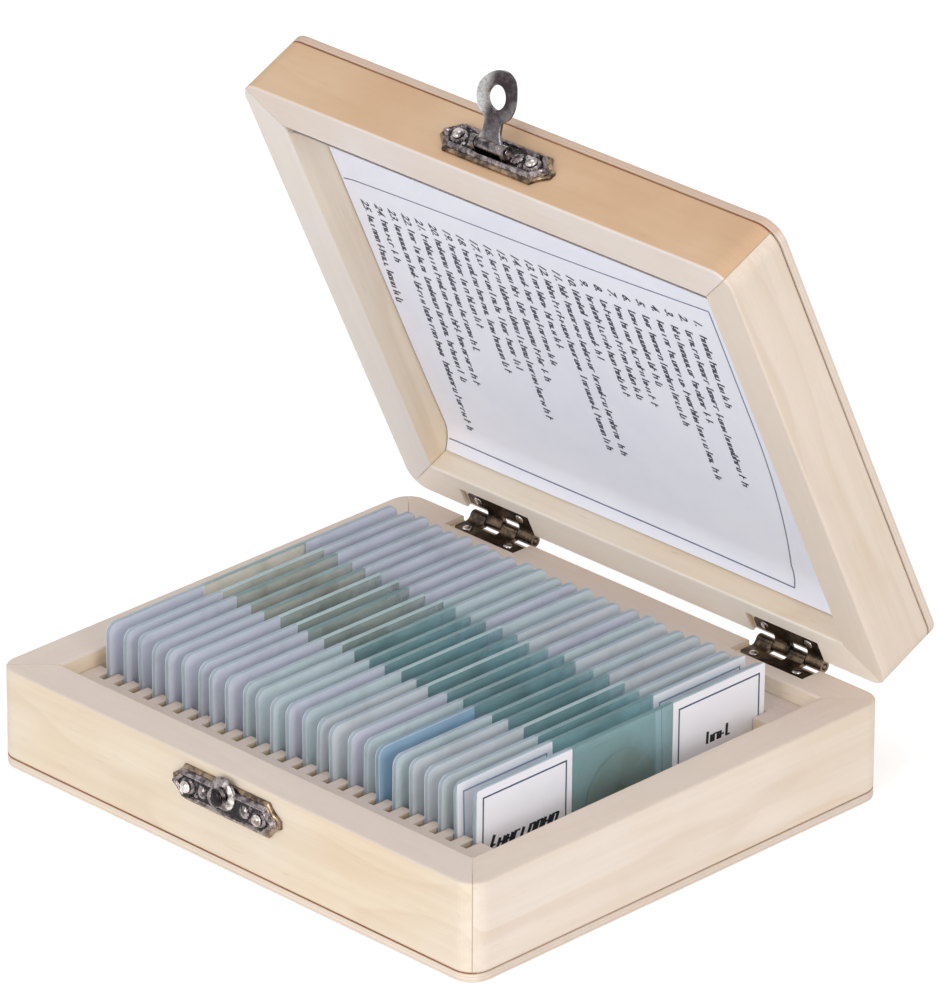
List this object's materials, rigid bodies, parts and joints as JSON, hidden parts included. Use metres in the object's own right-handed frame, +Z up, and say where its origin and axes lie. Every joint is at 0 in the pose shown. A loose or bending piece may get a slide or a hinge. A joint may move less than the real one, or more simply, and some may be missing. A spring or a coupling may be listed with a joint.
{
  "type": "microscope slide box",
  "caption": "Hinged wooden storage box, lid propped open, holding glass microscope slides on edge in two slotted rails, with an index sheet in the lid and a hasp clasp.",
  "frame": {"origin": "middle of the tray's underside, on the surface that the box stands on", "axes": "+Z up, +X along the clasp and hinge sides towards the first slide, -Y towards the clasp and +Y towards the hinges"},
  "size_m": [0.127, 0.128, 0.1396],
  "materials": {
    "pine": "bare sanded pale wood",
    "thin_plywood": "bare sanded thin board",
    "index_paper": "matt printed paper",
    "slide_glass": "clear polished glass with paper labels",
    "clasp_metal": "dark antiqued plating, glossy",
    "hinge_metal": "dark antiqued bronze",
    "nail_metal": "dark antiqued nail heads, glossy"
  },
  "bodies": {
    "tray": {"tray_front_wall": "pine", "tray_back_wall": "pine", "tray_left_wall": "pine", "tray_right_wall": "pine", "tray_bottom_board": "thin_plywood", "front_slot_rail": "pine", "back_slot_rail": "pine", "catch_plate": "clasp_metal", "catch_nail_left": "nail_metal", "catch_nail_right": "nail_metal", "left_hinge_tray_leaf": "hinge_metal", "right_hinge_tray_leaf": "hinge_metal", "left_hinge_pin": "hinge_metal", "right_hinge_pin": "hinge_metal", "left_hinge_tray_nail_outer": "nail_metal", "left_hinge_tray_nail_inner": "nail_metal", "right_hinge_tray_nail_outer": "nail_metal", "right_hinge_tray_nail_inner": "nail_metal"},
    "lid": {"lid_front_wall": "pine", "lid_back_wall": "pine", "lid_left_wall": "pine", "lid_right_wall": "pine", "lid_top_board": "thin_plywood", "index_sheet": "index_paper", "hasp_plate": "clasp_metal", "hasp_plate_nail_left": "nail_metal", "hasp_plate_nail_right": "nail_metal", "hasp_pin": "clasp_metal", "left_hinge_lid_leaf": "hinge_metal", "right_hinge_lid_leaf": "hinge_metal", "left_hinge_lid_nail_outer": "nail_metal", "left_hinge_lid_nail_inner": "nail_metal", "right_hinge_lid_nail_outer": "nail_metal", "right_hinge_lid_nail_inner": "nail_metal"},
    "hasp": {"hasp": "clasp_metal"},
    "slide_01": {"slide_01": "slide_glass"},
    "slide_02": {"slide_02": "slide_glass"},
    "slide_03": {"slide_03": "slide_glass"},
    "slide_04": {"slide_04": "slide_glass"},
    "slide_05": {"slide_05": "slide_glass"},
    "slide_06": {"slide_06": "slide_glass"},
    "slide_07": {"slide_07": "slide_glass"},
    "slide_08": {"slide_08": "slide_glass"},
    "slide_09": {"slide_09": "slide_glass"},
    "slide_10": {"slide_10": "slide_glass"},
    "slide_11": {"slide_11": "slide_glass"},
    "slide_12": {"slide_12": "slide_glass"},
    "slide_13": {"slide_13": "slide_glass"},
    "slide_14": {"slide_14": "slide_glass"},
    "slide_15": {"slide_15": "slide_glass"},
    "slide_16": {"slide_16": "slide_glass"},
    "slide_17": {"slide_17": "slide_glass"},
    "slide_18": {"slide_18": "slide_glass"},
    "slide_19": {"slide_19": "slide_glass"},
    "slide_20": {"slide_20": "slide_glass"},
    "slide_21": {"slide_21": "slide_glass"},
    "slide_22": {"slide_22": "slide_glass"},
    "slide_23": {"slide_23": "slide_glass"},
    "slide_24": {"slide_24": "slide_glass"},
    "slide_25": {"slide_25": "slide_glass"}
  },
  "joints": [
    {"name": "lid_hinge", "type": "hinge", "parent": "tray", "child": "lid", "pos_m": [0, 0.0558, 0.02045], "axis": [-1, 0, 0], "range_deg": [-65, 115]},
    {"name": "hasp_hinge", "type": "hinge", "parent": "lid", "child": "hasp", "pos_m": [0, 0.01277, 0.12562], "axis": [-1, 0, 0], "range_deg": [-128, 45]},
    {"name": "slide_01_lift", "type": "slide", "parent": "tray", "child": "slide_01", "axis": [0, 0, 1], "range_m": [0, 0.02]},
    {"name": "slide_02_lift", "type": "slide", "parent": "tray", "child": "slide_02", "axis": [0, 0, 1], "range_m": [0, 0.02]},
    {"name": "slide_03_lift", "type": "slide", "parent": "tray", "child": "slide_03", "axis": [0, 0, 1], "range_m": [0, 0.02]},
    {"name": "slide_04_lift", "type": "slide", "parent": "tray", "child": "slide_04", "axis": [0, 0, 1], "range_m": [0, 0.02]},
    {"name": "slide_05_lift", "type": "slide", "parent": "tray", "child": "slide_05", "axis": [0, 0, 1], "range_m": [0, 0.02]},
    {"name": "slide_06_lift", "type": "slide", "parent": "tray", "child": "slide_06", "axis": [0, 0, 1], "range_m": [0, 0.02]},
    {"name": "slide_07_lift", "type": "slide", "parent": "tray", "child": "slide_07", "axis": [0, 0, 1], "range_m": [0, 0.02]},
    {"name": "slide_08_lift", "type": "slide", "parent": "tray", "child": "slide_08", "axis": [0, 0, 1], "range_m": [0, 0.02]},
    {"name": "slide_09_lift", "type": "slide", "parent": "tray", "child": "slide_09", "axis": [0, 0, 1], "range_m": [0, 0.02]},
    {"name": "slide_10_lift", "type": "slide", "parent": "tray", "child": "slide_10", "axis": [0, 0, 1], "range_m": [0, 0.02]},
    {"name": "slide_11_lift", "type": "slide", "parent": "tray", "child": "slide_11", "axis": [0, 0, 1], "range_m": [0, 0.02]},
    {"name": "slide_12_lift", "type": "slide", "parent": "tray", "child": "slide_12", "axis": [0, 0, 1], "range_m": [0, 0.02]},
    {"name": "slide_13_lift", "type": "slide", "parent": "tray", "child": "slide_13", "axis": [0, 0, 1], "range_m": [0, 0.02]},
    {"name": "slide_14_lift", "type": "slide", "parent": "tray", "child": "slide_14", "axis": [0, 0, 1], "range_m": [0, 0.02]},
    {"name": "slide_15_lift", "type": "slide", "parent": "tray", "child": "slide_15", "axis": [0, 0, 1], "range_m": [0, 0.02]},
    {"name": "slide_16_lift", "type": "slide", "parent": "tray", "child": "slide_16", "axis": [0, 0, 1], "range_m": [0, 0.02]},
    {"name": "slide_17_lift", "type": "slide", "parent": "tray", "child": "slide_17", "axis": [0, 0, 1], "range_m": [0, 0.02]},
    {"name": "slide_18_lift", "type": "slide", "parent": "tray", "child": "slide_18", "axis": [0, 0, 1], "range_m": [0, 0.02]},
    {"name": "slide_19_lift", "type": "slide", "parent": "tray", "child": "slide_19", "axis": [0, 0, 1], "range_m": [0, 0.02]},
    {"name": "slide_20_lift", "type": "slide", "parent": "tray", "child": "slide_20", "axis": [0, 0, 1], "range_m": [0, 0.02]},
    {"name": "slide_21_lift", "type": "slide", "parent": "tray", "child": "slide_21", "axis": [0, 0, 1], "range_m": [0, 0.02]},
    {"name": "slide_22_lift", "type": "slide", "parent": "tray", "child": "slide_22", "axis": [0, 0, 1], "range_m": [0, 0.02]},
    {"name": "slide_23_lift", "type": "slide", "parent": "tray", "child": "slide_23", "axis": [0, 0, 1], "range_m": [0, 0.02]},
    {"name": "slide_24_lift", "type": "slide", "parent": "tray", "child": "slide_24", "axis": [0, 0, 1], "range_m": [0, 0.02]},
    {"name": "slide_25_lift", "type": "slide", "parent": "tray", "child": "slide_25", "axis": [0, 0, 1], "range_m": [0, 0.02]}
  ]
}
